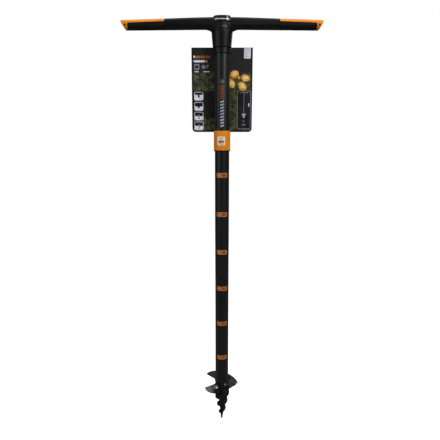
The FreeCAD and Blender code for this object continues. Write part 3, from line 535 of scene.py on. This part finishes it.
class Print:
    """Thin closed layers of ink over a surface. place(u, v, height) gives a point of the frame.

    A layer is sliced at every pitch across, so that it can follow a round surface.
    """

    def __init__(self, place, pitch=0.0):
        self.place = place
        self.pitch = pitch
        self.points = []
        self.faces = []
        self.indices = []
        self.finishes = []

    def shape(self, finish_name, height, *loops):
        """Fill the outline, less its holes, up to a height."""
        flat = bmesh.new()
        for loop in loops:
            corners = [flat.verts.new((u, v, 0)) for u, v in loop]
            for index, corner in enumerate(corners):
                flat.edges.new((corners[index - 1], corner))
        bmesh.ops.triangle_fill(flat, use_beauty=True, use_dissolve=False, edges=flat.edges[:])
        self.layer(finish_name, height, flat)

    def numeral(self, finish_name, height, text, x, y, tall):
        """Digits centred on a point."""
        curve = bpy.data.curves.new("numeral", "FONT")
        curve.body = text
        curve.align_x = "CENTER"
        curve.align_y = "CENTER"
        curve.size = tall / 0.7
        curve.offset = tall * 0.03
        carrier = bpy.data.objects.new("numeral", curve)
        flat = bmesh.new()
        flat.from_mesh(bpy.data.meshes.new_from_object(carrier))
        bpy.data.objects.remove(carrier)
        bmesh.ops.translate(flat, verts=flat.verts[:], vec=(x, y, 0))
        bmesh.ops.remove_doubles(flat, verts=flat.verts[:], dist=0.001 * MM)
        self.layer(finish_name, height, flat)

    def layer(self, finish_name, height, flat):
        """Slice a flat mesh so that it can bend, thicken it and add it to the print."""
        if self.pitch:
            across = [vertex.co.x for vertex in flat.verts]
            for cut in np.arange(min(across) + self.pitch, max(across), self.pitch):
                everything = flat.verts[:] + flat.edges[:] + flat.faces[:]
                bmesh.ops.bisect_plane(flat, geom=everything, plane_co=(cut, 0, 0), plane_no=(1, 0, 0))
        flat.verts.index_update()
        flat.normal_update()
        for face in flat.faces:
            if face.normal.z < 0:
                face.normal_flip()
        rings = [tuple(vertex.index for vertex in face.verts) for face in flat.faces]
        added = thickened(rings, len(self.points), len(flat.verts))
        corners = [(vertex.co.x, vertex.co.y) for vertex in flat.verts]
        self.points += [self.place(u, v, height) for u, v in corners]
        self.points += [self.place(u, v, SKIN) for u, v in corners]
        if finish_name not in self.finishes:
            self.finishes.append(finish_name)
        self.faces += added
        self.indices += [self.finishes.index(finish_name)] * len(added)
        flat.free()

    def done(self, name, body="digger"):
        return piece(name, self.points, self.faces, self.finishes, body, self.indices)


def around(radius):
    """Places ink on the front of an upright cylinder."""

    def place(u, v, height):
        angle = u / radius
        return ((radius + height) * math.sin(angle), -(radius + height) * math.cos(angle), v)

    return place


def on_card(u, v, height):
    """Places ink on the front of the card."""
    return (u, CARD_LOW.y - height, v)


# ---------------------------------------------------------------- prints on shaft, collar and card


def depth_marks():
    """Six numbered marks, one for every 100 mm of depth above the cutting edges."""
    cutting_edges, spacing = 102, 100
    half_width, half_height, corner, line = 14.6 * MM, 5.7 * MM, 2.4 * MM, 0.8 * MM
    numeral_x, numeral_height = 4.6 * MM, 6.2 * MM
    first_tick, tick_pitch, ticks = -9.95, 3.2, 3
    for tens in range(1, 7):
        level = (cutting_edges + spacing * tens) * MM
        mark = Print(around(SHAFT), BEND)
        outer = tablet(level, half_width, half_height, corner)
        inner = tablet(level, half_width - line, half_height - line, corner - line)
        mark.shape("ink_orange", FILL, outer)
        mark.shape("ink_pale", RIM, outer, inner)
        mark.numeral("ink_dark", FIGURE, "%d0" % tens, numeral_x, level, numeral_height)
        for tick in range(ticks):
            x = (first_tick + tick_pitch * tick) * MM
            mark.shape("ink_pale", RIM, tablet(level, 0.55 * MM, 2.4 * MM, 0.4 * MM, x, 3))
        mark.done("depth_mark_%d0" % tens)


def shaft_print():
    """Plain decoration above the collar: a ring, a stack of orange blocks and one of slanted bars."""
    half = 4.4 * MM
    ring_level, ring_line, dot = 925 * MM, 1.1 * MM, 1.3 * MM
    blocks, lowest_block, block_pitch, block_half_height = 7, 886.55, 4.7, 1.55 * MM
    bars, lowest_bar, bar_pitch, bar_height, bar_rise = 9, 819, 7.1, 3.8 * MM, 2.6 * MM
    art = Print(around(SHAFT), BEND)
    inner = half - ring_line
    art.shape("ink_grey", FILL, oval(0, ring_level, half, half), oval(0, ring_level, inner, inner))
    art.shape("ink_grey", FILL, oval(0, ring_level, dot, dot))
    for block in range(blocks):
        level = (lowest_block + block_pitch * block) * MM
        art.shape("ink_rust", FILL, tablet(level, half, block_half_height, 0.9 * MM))
    for bar in range(bars):
        left = (lowest_bar + bar_pitch * bar) * MM
        right = left + bar_rise
        corners = [(-half, left), (half, right), (half, right + bar_height), (-half, left + bar_height)]
        art.shape("ink_silver", FILL, corners)
    art.done("shaft_print")


def label_print():
    """A small plant symbol over an orange bar, with a thin pale bar below."""
    label_skin = 0.15 * MM
    middle = (LABEL_LOW.x + LABEL_HIGH.x) / 2
    level = (LABEL_LOW.z + LABEL_HIGH.z) / 2
    art = Print(around(COLLAR + label_skin), BEND)
    art.shape("ink_orange", FILL, tablet(level - 1.7 * MM, 7.4 * MM, 2.9 * MM, 1.2 * MM, middle))
    for side in (-1, 1):
        leaf = oval(middle + side * 1.9 * MM, level + 6.1 * MM, 2.3 * MM, 1.0 * MM, side * 0.6)
        art.shape("ink_grey", FILL, leaf)
    art.shape("ink_grey", FILL, tablet(level + 4.5 * MM, 0.35 * MM, 1.9 * MM, 0.3 * MM, middle, 3))
    art.shape("ink_pale", FILL, tablet(level - 7.4 * MM, 6.4 * MM, 0.8 * MM, 0.6 * MM, middle, 3))
    art.done("collar_label_print", "collar_ring")


def card_print():
    """Plain blocks, ovals and panels in place of printed words and pictures."""
    art = Print(on_card)
    top = CARD_HIGH.z

    def bar(finish_name, left, high, right, low, radius=0.8, height=FILL):
        """Rounded bar between distances from the middle and depths below the card's top edge."""
        outline = rounded(left * MM, top - low * MM, right * MM, top - high * MM, radius * MM, 4)
        art.shape(finish_name, height, outline)

    def spot(finish_name, x, down, half_width, half_height, tilt=0.0, height=FILL):
        """Oval at a distance from the middle and a depth below the card's top edge."""
        outline = oval(x * MM, top - down * MM, half_width * MM, half_height * MM, tilt)
        art.shape(finish_name, height, outline)

    # heading: an orange line, a white line and a row of two small pictures with captions
    bar("ink_white", -70, 18.5, -66.5, 24.5)
    for word in range(3):
        bar("ink_orange", -65.5 + 12.6 * word, 18.5, -54.2 + 12.6 * word, 24.5)
    bar("ink_white", -70, 29, -42, 34)
    spot("ink_warm", -38, 31.5, 2.6, 2.6)
    bar("ink_grey", -69, 38, -56, 51, 1.6)
    bar("ink_dark", -67, 41, -58, 48, 1.2, RIM)
    bar("ink_black", -53, 38, -28.5, 51, 1.6)
    spot("ink_blue", -46, 44.5, 4.2, 4.6, height=RIM)
    spot("ink_orange", -36.5, 43.5, 5.4, 3.2, 0.8, RIM)
    bar("ink_white", -68, 54.5, -58, 57, 0.6)
    bar("ink_white", -46, 54.5, -30, 57, 0.6)

    # four white squares with plain dark shapes
    for number, high in enumerate((103.5, 128.0, 151.5, 175.5)):
        bar("ink_white", -69.5, high, -46.8, high + 20.5, 3.6)
        bar("ink_black", -68.3, high + 1.2, -48.0, high + (10.5 if number else 7.0), 2.0, RIM)
        if number < 2:
            bar("ink_black", -60.4, high + 5.0, -55.9, high + 13.5 + number, 1.0, RIM)
        else:
            bar("ink_grey", -60.4, high + 7.0, -55.9, high + 12.5, 1.0, FIGURE)
            spot("ink_black", -58.1, high + 15.5, 2.1, 1.5, height=RIM)

    # tab at the top edge
    bar("ink_white", 53.5, 0.4, 70.0, 25.5, 2.2)
    bar("ink_grey", 58.0, 19.5, 66.0, 20.3, 0.3, RIM)

    # warm ovals with a lighter middle: place, half sizes and tilt
    for x, down, wide, tall, tilt in (
        (31, 62, 11.0, 9.4, 0.3),
        (57.5, 70.5, 11.6, 8.0, -0.25),
        (24, 83, 7.4, 11.6, 0.35),
        (50, 90, 9.2, 11.8, 0.75),
        (41.5, 70.0, 2.6, 3.6, 0.0),
    ):
        spot("ink_warm", x, down, wide, tall, tilt)
        spot("ink_glow", x + 0.8, down - 0.9, 0.66 * wide, 0.5 * tall, tilt + 0.3, RIM)

    # dark panel with a plain line drawing of a tool
    bar("ink_grey", 37.8, 100.5, 71.6, 193.5, 4.0)
    bar("ink_black", 39.0, 101.7, 70.4, 192.3, 3.2, RIM)
    bar("ink_grey", 44.0, 104.5, 65.0, 106.0, 0.6, FIGURE)
    bar("ink_grey", 53.9, 106.0, 55.1, 160.0, 0.3, FIGURE)
    bar("ink_orange", 53.6, 116.0, 55.4, 119.0, 0.3, FIGURE)
    for width, high in ((5.0, 156.5), (3.4, 160.5), (1.4, 164.0)):
        bar("ink_white", 54.5 - width, high, 54.5 + width, high + 2.2, 0.8, FIGURE)
    bar("ink_white", 65.5, 131.0, 68.0, 139.0, 0.8, FIGURE)
    bar("ink_grey", 52.0, 173.0, 57.0, 175.5, 0.8, FIGURE)
    bar("ink_grey", 50.5, 181.0, 58.5, 184.5, 0.8, FIGURE)
    art.done("card_print")


# ---------------------------------------------------------------- head: screw, welds

# The forged screw, in millimetres up from its tip.
SCREW_TOP = 109.0
SCREW_PITCH = 25.2
SCREW_NECK = 84.0
HUB_INSIDE = 20.3


def smooth_step(low, high, value):
    """0 below low, 1 above high, and a smooth step between."""
    share = min(max((value - low) / (high - low), 0.0), 1.0)
    return share * share * (3 - 2 * share)


def screw_core(level):
    """Radius of the screw's core: a slim cone that flares out to the hub above the neck."""
    cone = 2.0 + 0.105 * level
    flare = 10.8 + 0.1 * max(level - SCREW_NECK, 0.0) ** 1.5
    radius = cone if level < SCREW_NECK else flare
    return min(radius * smooth_step(-1.5, 3.0, level), HUB_INSIDE)


def screw_radius(turn, level):
    """Radius of the forged pilot screw in millimetres at an angle in turns and a height in millimetres."""
    core = screw_core(level)
    crest_start = 60.0
    phase = (level - crest_start) / SCREW_PITCH - turn
    offset = (phase - round(phase)) * SCREW_PITCH
    crest_level = level - offset
    crest = 4.6 + 0.197 * crest_level
    half_width = 4.8 + 0.055 * level
    fade = smooth_step(11.0, 20.0, level) * (1.0 - smooth_step(92.0, 104.0, crest_level))
    share = abs(offset) / half_width
    swell = math.sqrt(1.0 - share**2.6) if share < 1 else 0.0
    thread = core + max(crest - core, 0.0) * swell * fade
    degrees = (turn * 360.0 + 180.0) % 360.0 - 180.0
    web_middle, web_spread, web_height = -22.0, 24.0, 6.5
    side = math.exp(-(((degrees - web_middle) / web_spread) ** 2))
    web = side * smooth_step(SCREW_NECK, 106.0, level) * web_height
    return max(thread, core + web)


def pilot_screw():
    """Forged screw: its thread swells with height and runs out in a web under the flight's leading edge."""
    columns, rows = 144, 230
    lowest = 0.3
    points = []
    for row in range(rows):
        level = lowest + (SCREW_TOP - lowest) * row / (rows - 1)
        for step in range(columns):
            turn = step / columns
            x, y = math.cos(math.tau * turn), math.sin(math.tau * turn)
            rough = noise.noise(Vector((x * 9, y * 9, level * 0.35)))
            radius = screw_radius(turn, level) + 0.12 * rough * smooth_step(4.0, 20.0, level)
            points.append((radius * MM * x, radius * MM * y, level * MM))
    faces = grid_faces(rows, columns, wrap=True)
    tip = len(points)
    points.append((0, 0, 0))
    faces += [((step + 1) % columns, step, tip) for step in range(columns)]
    last = (rows - 1) * columns
    faces.append(tuple(range(last, last + columns)))
    screw = piece("pilot_screw_forging", points, faces, ["head_coat"], crease=60.0)
    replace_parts(screw, "pilot_screw")


def bead(name, path, start, end, radius, closed=False):
    """Weld bead along path(angle), rippled where one drop overlaps the next, thin at its open ends."""
    steps, sides = 150, 10
    count = steps if closed else steps + 1
    points = []
    for step in range(count):
        angle = start + (end - start) * step / steps
        here = Vector(path(angle))
        ahead = (Vector(path(angle + 0.01)) - Vector(path(angle - 0.01))).normalized()
        outward = Vector((here.x, here.y, 0)).normalized()
        upward = ahead.cross(outward).normalized()
        taper = 1.0 if closed else min(1.0, 0.15 + 9.0 * min(step, steps - step) / steps)
        drop = abs(math.sin(angle * 21.0 + 0.7 * math.sin(angle * 5.0)))
        thickness = radius * taper * (0.86 + 0.2 * drop)
        for side in range(sides):
            turn = math.tau * side / sides
            points.append(here + (outward * math.cos(turn) + upward * math.sin(turn)) * thickness)
    faces = grid_faces(count, sides, wrap=True)
    last = (count - 1) * sides
    if closed:
        for side in range(sides):
            beside = (side + 1) % sides
            faces.append((last + side, last + beside, beside, side))
    else:
        faces.append(tuple(reversed(range(sides))))
        faces.append(tuple(range(last, last + sides)))
    piece(name, points, faces, ["head_coat"], crease=50.0)


def welds():
    """Beads where the flight meets the shaft, above and below, and around the top of the hub."""
    half_plate = 1.25 * MM / math.cos(SLOPE)
    leading, under, trailing = math.radians(-31), math.radians(60), math.radians(196)

    def line(level, slope=0.0, gap=0.35 * MM):
        def path(angle):
            x = (SHAFT + gap) * math.cos(angle)
            return (x, (SHAFT + gap) * math.sin(angle), level - x * math.tan(slope))

        return path

    bead("weld_flight_top", line(HEAD_LEVEL + half_plate, SLOPE), leading, trailing, 1.5 * MM)
    bead("weld_flight_under", line(HEAD_LEVEL - half_plate, SLOPE), under, trailing, 1.3 * MM)
    bead("weld_hub", line(HEAD_LEVEL - 7 * MM, gap=0.5 * MM), 0.0, math.tau, 1.3 * MM, closed=True)


# ---------------------------------------------------------------- handle


def gussets():
    """Webs that carry the column's sides out into the underside of the crossbar in a long hollow curve."""
    bar_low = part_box("grip_pad_right")[0].z / MM
    column, reach, bar_foot = 22.0, 52.0, 228.0
    depth, half_width, thick = 15.5, 14.4, 5 * MM
    bar_rise, bar_corner, bar_flat = 2.1, 9.5, 5.5
    sunk, proud = 0.45, 0.4
    columns, rows = 26, 30
    below = grid_faces(rows + 1, columns + 1, wrap=False)
    points, faces = [], []
    for sign in (-1, 1):
        start = len(points)
        for row in range(rows + 1):
            x = column + (reach - column) * row / rows
            share = 1.0 - (x - column) / (reach - column)
            drop = depth * (1.0 - math.sqrt(max(1.0 - share**3.4, 0.0)))
            for step in range(columns + 1):
                y = half_width * (2.0 * step / columns - 1.0)
                crown = (1.0 - (y / half_width) ** 2) ** 0.7
                bank = bar_corner - math.sqrt(bar_corner**2 - max(abs(y) - bar_flat, 0.0) ** 2)
                underside = bar_low + bar_rise * (1.0 - x / bar_foot) + bank
                level = underside + sunk - (drop + proud) * crown
                points.append((sign * x * MM, y * MM, level * MM))
        count = len(points) - start
        points += [(x, y, z + thick) for x, y, z in points[start:]]
        solid = thickened(below, start, count)
        faces += solid if sign < 0 else [tuple(reversed(face)) for face in solid]
    piece("handle_gussets", points, faces, ["black_moulding"], crease=60.0)


def cap():
    """Cap with a shallow dish, a raised middle button and a bevelled rim.

    Its plan is a superellipse, squarer than a circle and of the same width.
    """
    power, steps = 3.4, 128
    low = CAP_FOOT
    radius = CAP_HIGH.x
    top = CAP_HIGH.z
    profile = [
        (radius - 1.4 * MM, low),
        (radius - 0.3 * MM, low + 0.1 * MM),
        (radius, low + 0.5 * MM),
        (radius, low + 2.9 * MM),
        (radius - 0.5 * MM, low + 3.3 * MM),
        (radius - 0.7 * MM, low + 5.9 * MM),
        (radius - 0.1 * MM, low + 6.3 * MM),
        (radius - 0.1 * MM, top - 1.0 * MM),
        (radius - 0.3 * MM, top - 0.4 * MM),
        (radius - 0.8 * MM, top - 0.05 * MM),
        (radius - 1.6 * MM, top),
        (radius - 3.0 * MM, top - 0.1 * MM),
        (radius - 4.4 * MM, top - 0.9 * MM),
        (radius - 5.8 * MM, top - 1.25 * MM),
        (5.2 * MM, top - 1.35 * MM),
        (4.6 * MM, top - 1.2 * MM),
        (4.2 * MM, top - 0.75 * MM),
        (3.4 * MM, top - 0.55 * MM),
        (0.4 * MM, top - 0.5 * MM),
    ]
    points = []
    for reach, level in profile:
        for step in range(steps):
            x, y = math.cos(math.tau * step / steps), math.sin(math.tau * step / steps)
            scaled = reach / (abs(x) ** power + abs(y) ** power) ** (1 / power)
            points.append((scaled * x, scaled * y, level))
    faces = grid_faces(len(profile), steps, wrap=True)
    faces.append(tuple(reversed(range(steps))))
    faces.append(tuple(range(len(points) - steps, len(points))))
    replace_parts(piece("top_cap_turned", points, faces, ["dark_cap"]), "top_cap")


def remeshed(node):
    """A fine even copy of a node's mesh."""
    carrier = bpy.data.objects.new("carrier", NODES[node].data.copy())
    bpy.context.scene.collection.objects.link(carrier)
    weld = carrier.modifiers.new("weld", "WELD")
    weld.merge_threshold = 0.01 * MM
    remesh = carrier.modifiers.new("remesh", "REMESH")
    remesh.mode = "VOXEL"
    remesh.voxel_size = 0.9 * MM
    evaluated = carrier.evaluated_get(bpy.context.evaluated_depsgraph_get())
    mesh = bpy.data.meshes.new_from_object(evaluated)
    bpy.data.objects.remove(carrier)
    return mesh


def grip_pad(side):
    """Rubber pad with softened edges and slanted ribs pressed into its broad faces."""
    rib_pitch, rib_lean, rib_depth, shrink = 4.2 * MM, 0.5, 0.45 * MM, 0.05 * MM
    rim, blend = 2.5 * MM, 2.0 * MM
    node = "grip_pad_" + side
    low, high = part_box(node)
    inner, outer = sorted((abs(low.x), abs(high.x)))
    mesh = remeshed(node)
    normals = [vertex.normal.copy() for vertex in mesh.vertices]
    for vertex, normal in zip(mesh.vertices, normals):
        x, _, z = vertex.co
        edge = min(abs(x) - inner, outer - abs(x), high.z - z)
        broad = smooth_step(0.0, 1.0, abs(normal.y) * 2.0 - 0.4)
        run = (abs(x) - rib_lean * (z - low.z)) / rib_pitch
        rib = smooth_step(0.25, 0.75, 0.5 + 0.5 * math.cos(math.tau * run))
        pressed = rib_depth * smooth_step(rim, rim + blend, edge) * broad * (1.0 - rib)
        vertex.co -= normal * (pressed + shrink)
    mesh.materials.clear()
    mesh.materials.append(MATERIALS["soft_grip"])
    mesh.shade_smooth()
    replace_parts(placed(node + "_rubber", mesh), node)


# ---------------------------------------------------------------- floor, light and camera


def floor():
    """Pale floor that fades into the backdrop with distance, and is clear from below."""
    half, near, far, glow = 3.0, 0.7, 2.6, 0.32
    finish = Finish("floor", Roughness=0.9, Specular_IOR_Level=0.1)
    paper = finish.mix(finish.noise(3.0), tone(243, 243, 243), tone(247, 247, 247))
    seen = finish.add("LightPath")
    finish.colour(finish.mix(seen, tone(120, 120, 120), paper))
    finish.set(finish.shader, "Emission Color", tone(255, 255, 255))
    finish.set(finish.shader, "Emission Strength", finish.math("MULTIPLY", seen, glow))
    tree = finish.tree
    distance = finish.add("VectorMath", 1, {"operation": "LENGTH"}, i0=finish.place)
    fade = finish.span(distance, near, far)
    behind = finish.add("NewGeometry", 6)
    clear = finish.math("MAXIMUM", fade, behind)
    through = tree.nodes.new("ShaderNodeBsdfTransparent")
    blend = tree.nodes.new("ShaderNodeMixShader")
    tree.links.new(clear, blend.inputs[0])
    tree.links.new(finish.shader.outputs[0], blend.inputs[1])
    tree.links.new(through.outputs[0], blend.inputs[2])
    output = [node for node in tree.nodes if node.type == "OUTPUT_MATERIAL"][0]
    tree.links.new(blend.outputs[0], output.inputs["Surface"])
    mesh = bpy.data.meshes.new("floor")
    corners = [(-half, -half, 0), (half, -half, 0), (half, half, 0), (-half, half, 0)]
    mesh.from_pydata(corners, [], [(0, 1, 2, 3)])
    mesh.materials.append(finish.material)
    plane = bpy.data.objects.new("floor", mesh)
    bpy.context.scene.collection.objects.link(plane)


def backdrop():
    """White to the eye. As a light it is dimmer, more so in reflections and from below."""
    world = bpy.data.worlds.new("studio")
    bpy.context.scene.world = world
    world.use_nodes = True
    tree = world.node_tree
    tree.nodes.clear()

    def span(value, low, high, to_low, to_high):
        node = tree.nodes.new("ShaderNodeMapRange")
        settings = {"From Min": low, "From Max": high, "To Min": to_low, "To Max": to_high}
        for key, setting in settings.items():
            node.inputs[key].default_value = setting
        tree.links.new(value, node.inputs["Value"])
        return node.outputs[0]

    path = tree.nodes.new("ShaderNodeLightPath")
    direction = tree.nodes.new("ShaderNodeSeparateXYZ")
    tree.links.new(tree.nodes.new("ShaderNodeTexCoord").outputs["Generated"], direction.inputs[0])
    height = span(direction.outputs["Z"], -0.1, 0.5, 0.08, 0.62)
    glossy = span(path.outputs["Is Glossy Ray"], 0.0, 1.0, 1.0, 0.28)
    strength = tree.nodes.new("ShaderNodeMath")
    strength.operation = "MULTIPLY"
    tree.links.new(height, strength.inputs[0])
    tree.links.new(glossy, strength.inputs[1])
    dim = tree.nodes.new("ShaderNodeBackground")
    dim.inputs["Color"].default_value = (1, 1, 1, 1)
    tree.links.new(strength.outputs[0], dim.inputs["Strength"])
    bright = tree.nodes.new("ShaderNodeBackground")
    bright.inputs["Color"].default_value = (1, 1, 1, 1)
    bright.inputs["Strength"].default_value = 1.0
    blend = tree.nodes.new("ShaderNodeMixShader")
    output = tree.nodes.new("ShaderNodeOutputWorld")
    tree.links.new(path.outputs["Is Camera Ray"], blend.inputs[0])
    tree.links.new(dim.outputs[0], blend.inputs[1])
    tree.links.new(bright.outputs[0], blend.inputs[2])
    tree.links.new(blend.outputs[0], output.inputs["Surface"])


def lamp(name, place, target, size, power):
    """Soft rectangular lamp aimed at a point."""
    light = bpy.data.lights.new(name, "AREA")
    light.shape = "RECTANGLE"
    light.size, light.size_y = size
    light.energy = power
    obj = bpy.data.objects.new(name, light)
    obj.location = place
    obj.rotation_euler = (Vector(target) - Vector(place)).to_track_quat("-Z", "Y").to_euler()
    bpy.context.scene.collection.objects.link(obj)


def lights():
    """A key at the front right, a fill at the left, a weak lamp above and one behind."""
    middle = (0, 0, TALL * 0.55)
    lamp("key", (1.3 * TALL, -1.5 * TALL, 1.7 * TALL), middle, (0.7, 1.2), 34)
    lamp("fill", (-1.7 * TALL, -1.2 * TALL, 1.1 * TALL), middle, (0.9, 1.4), 13)
    lamp("top", (0, 0.1, 2.4 * TALL), (0, 0, TALL), (1.6, 0.9), 10)
    lamp("back", (0.7 * TALL, 1.7 * TALL, 1.5 * TALL), middle, (1.0, 1.0), 16)


def camera():
    """Stands about the tool's height away, at three quarters of its height, and looks a little down."""
    data = bpy.data.cameras.new("camera")
    data.sensor_width = 36.0
    data.lens = 32.89
    obj = bpy.data.objects.new("camera", data)
    obj.location = (-0.0048 * TALL, -0.9547 * TALL, 0.7437 * TALL)
    obj.rotation_euler = (math.radians(90 - 11.72), 0, 0)
    bpy.context.scene.collection.objects.link(obj)
    bpy.context.scene.camera = obj


depth_marks()
shaft_print()
label_print()
card_print()
pilot_screw()
welds()
gussets()
cap()
for side_name in ("left", "right"):
    grip_pad(side_name)
floor()
backdrop()
lights()
camera()
bpy.context.scene.view_settings.view_transform = "Standard"
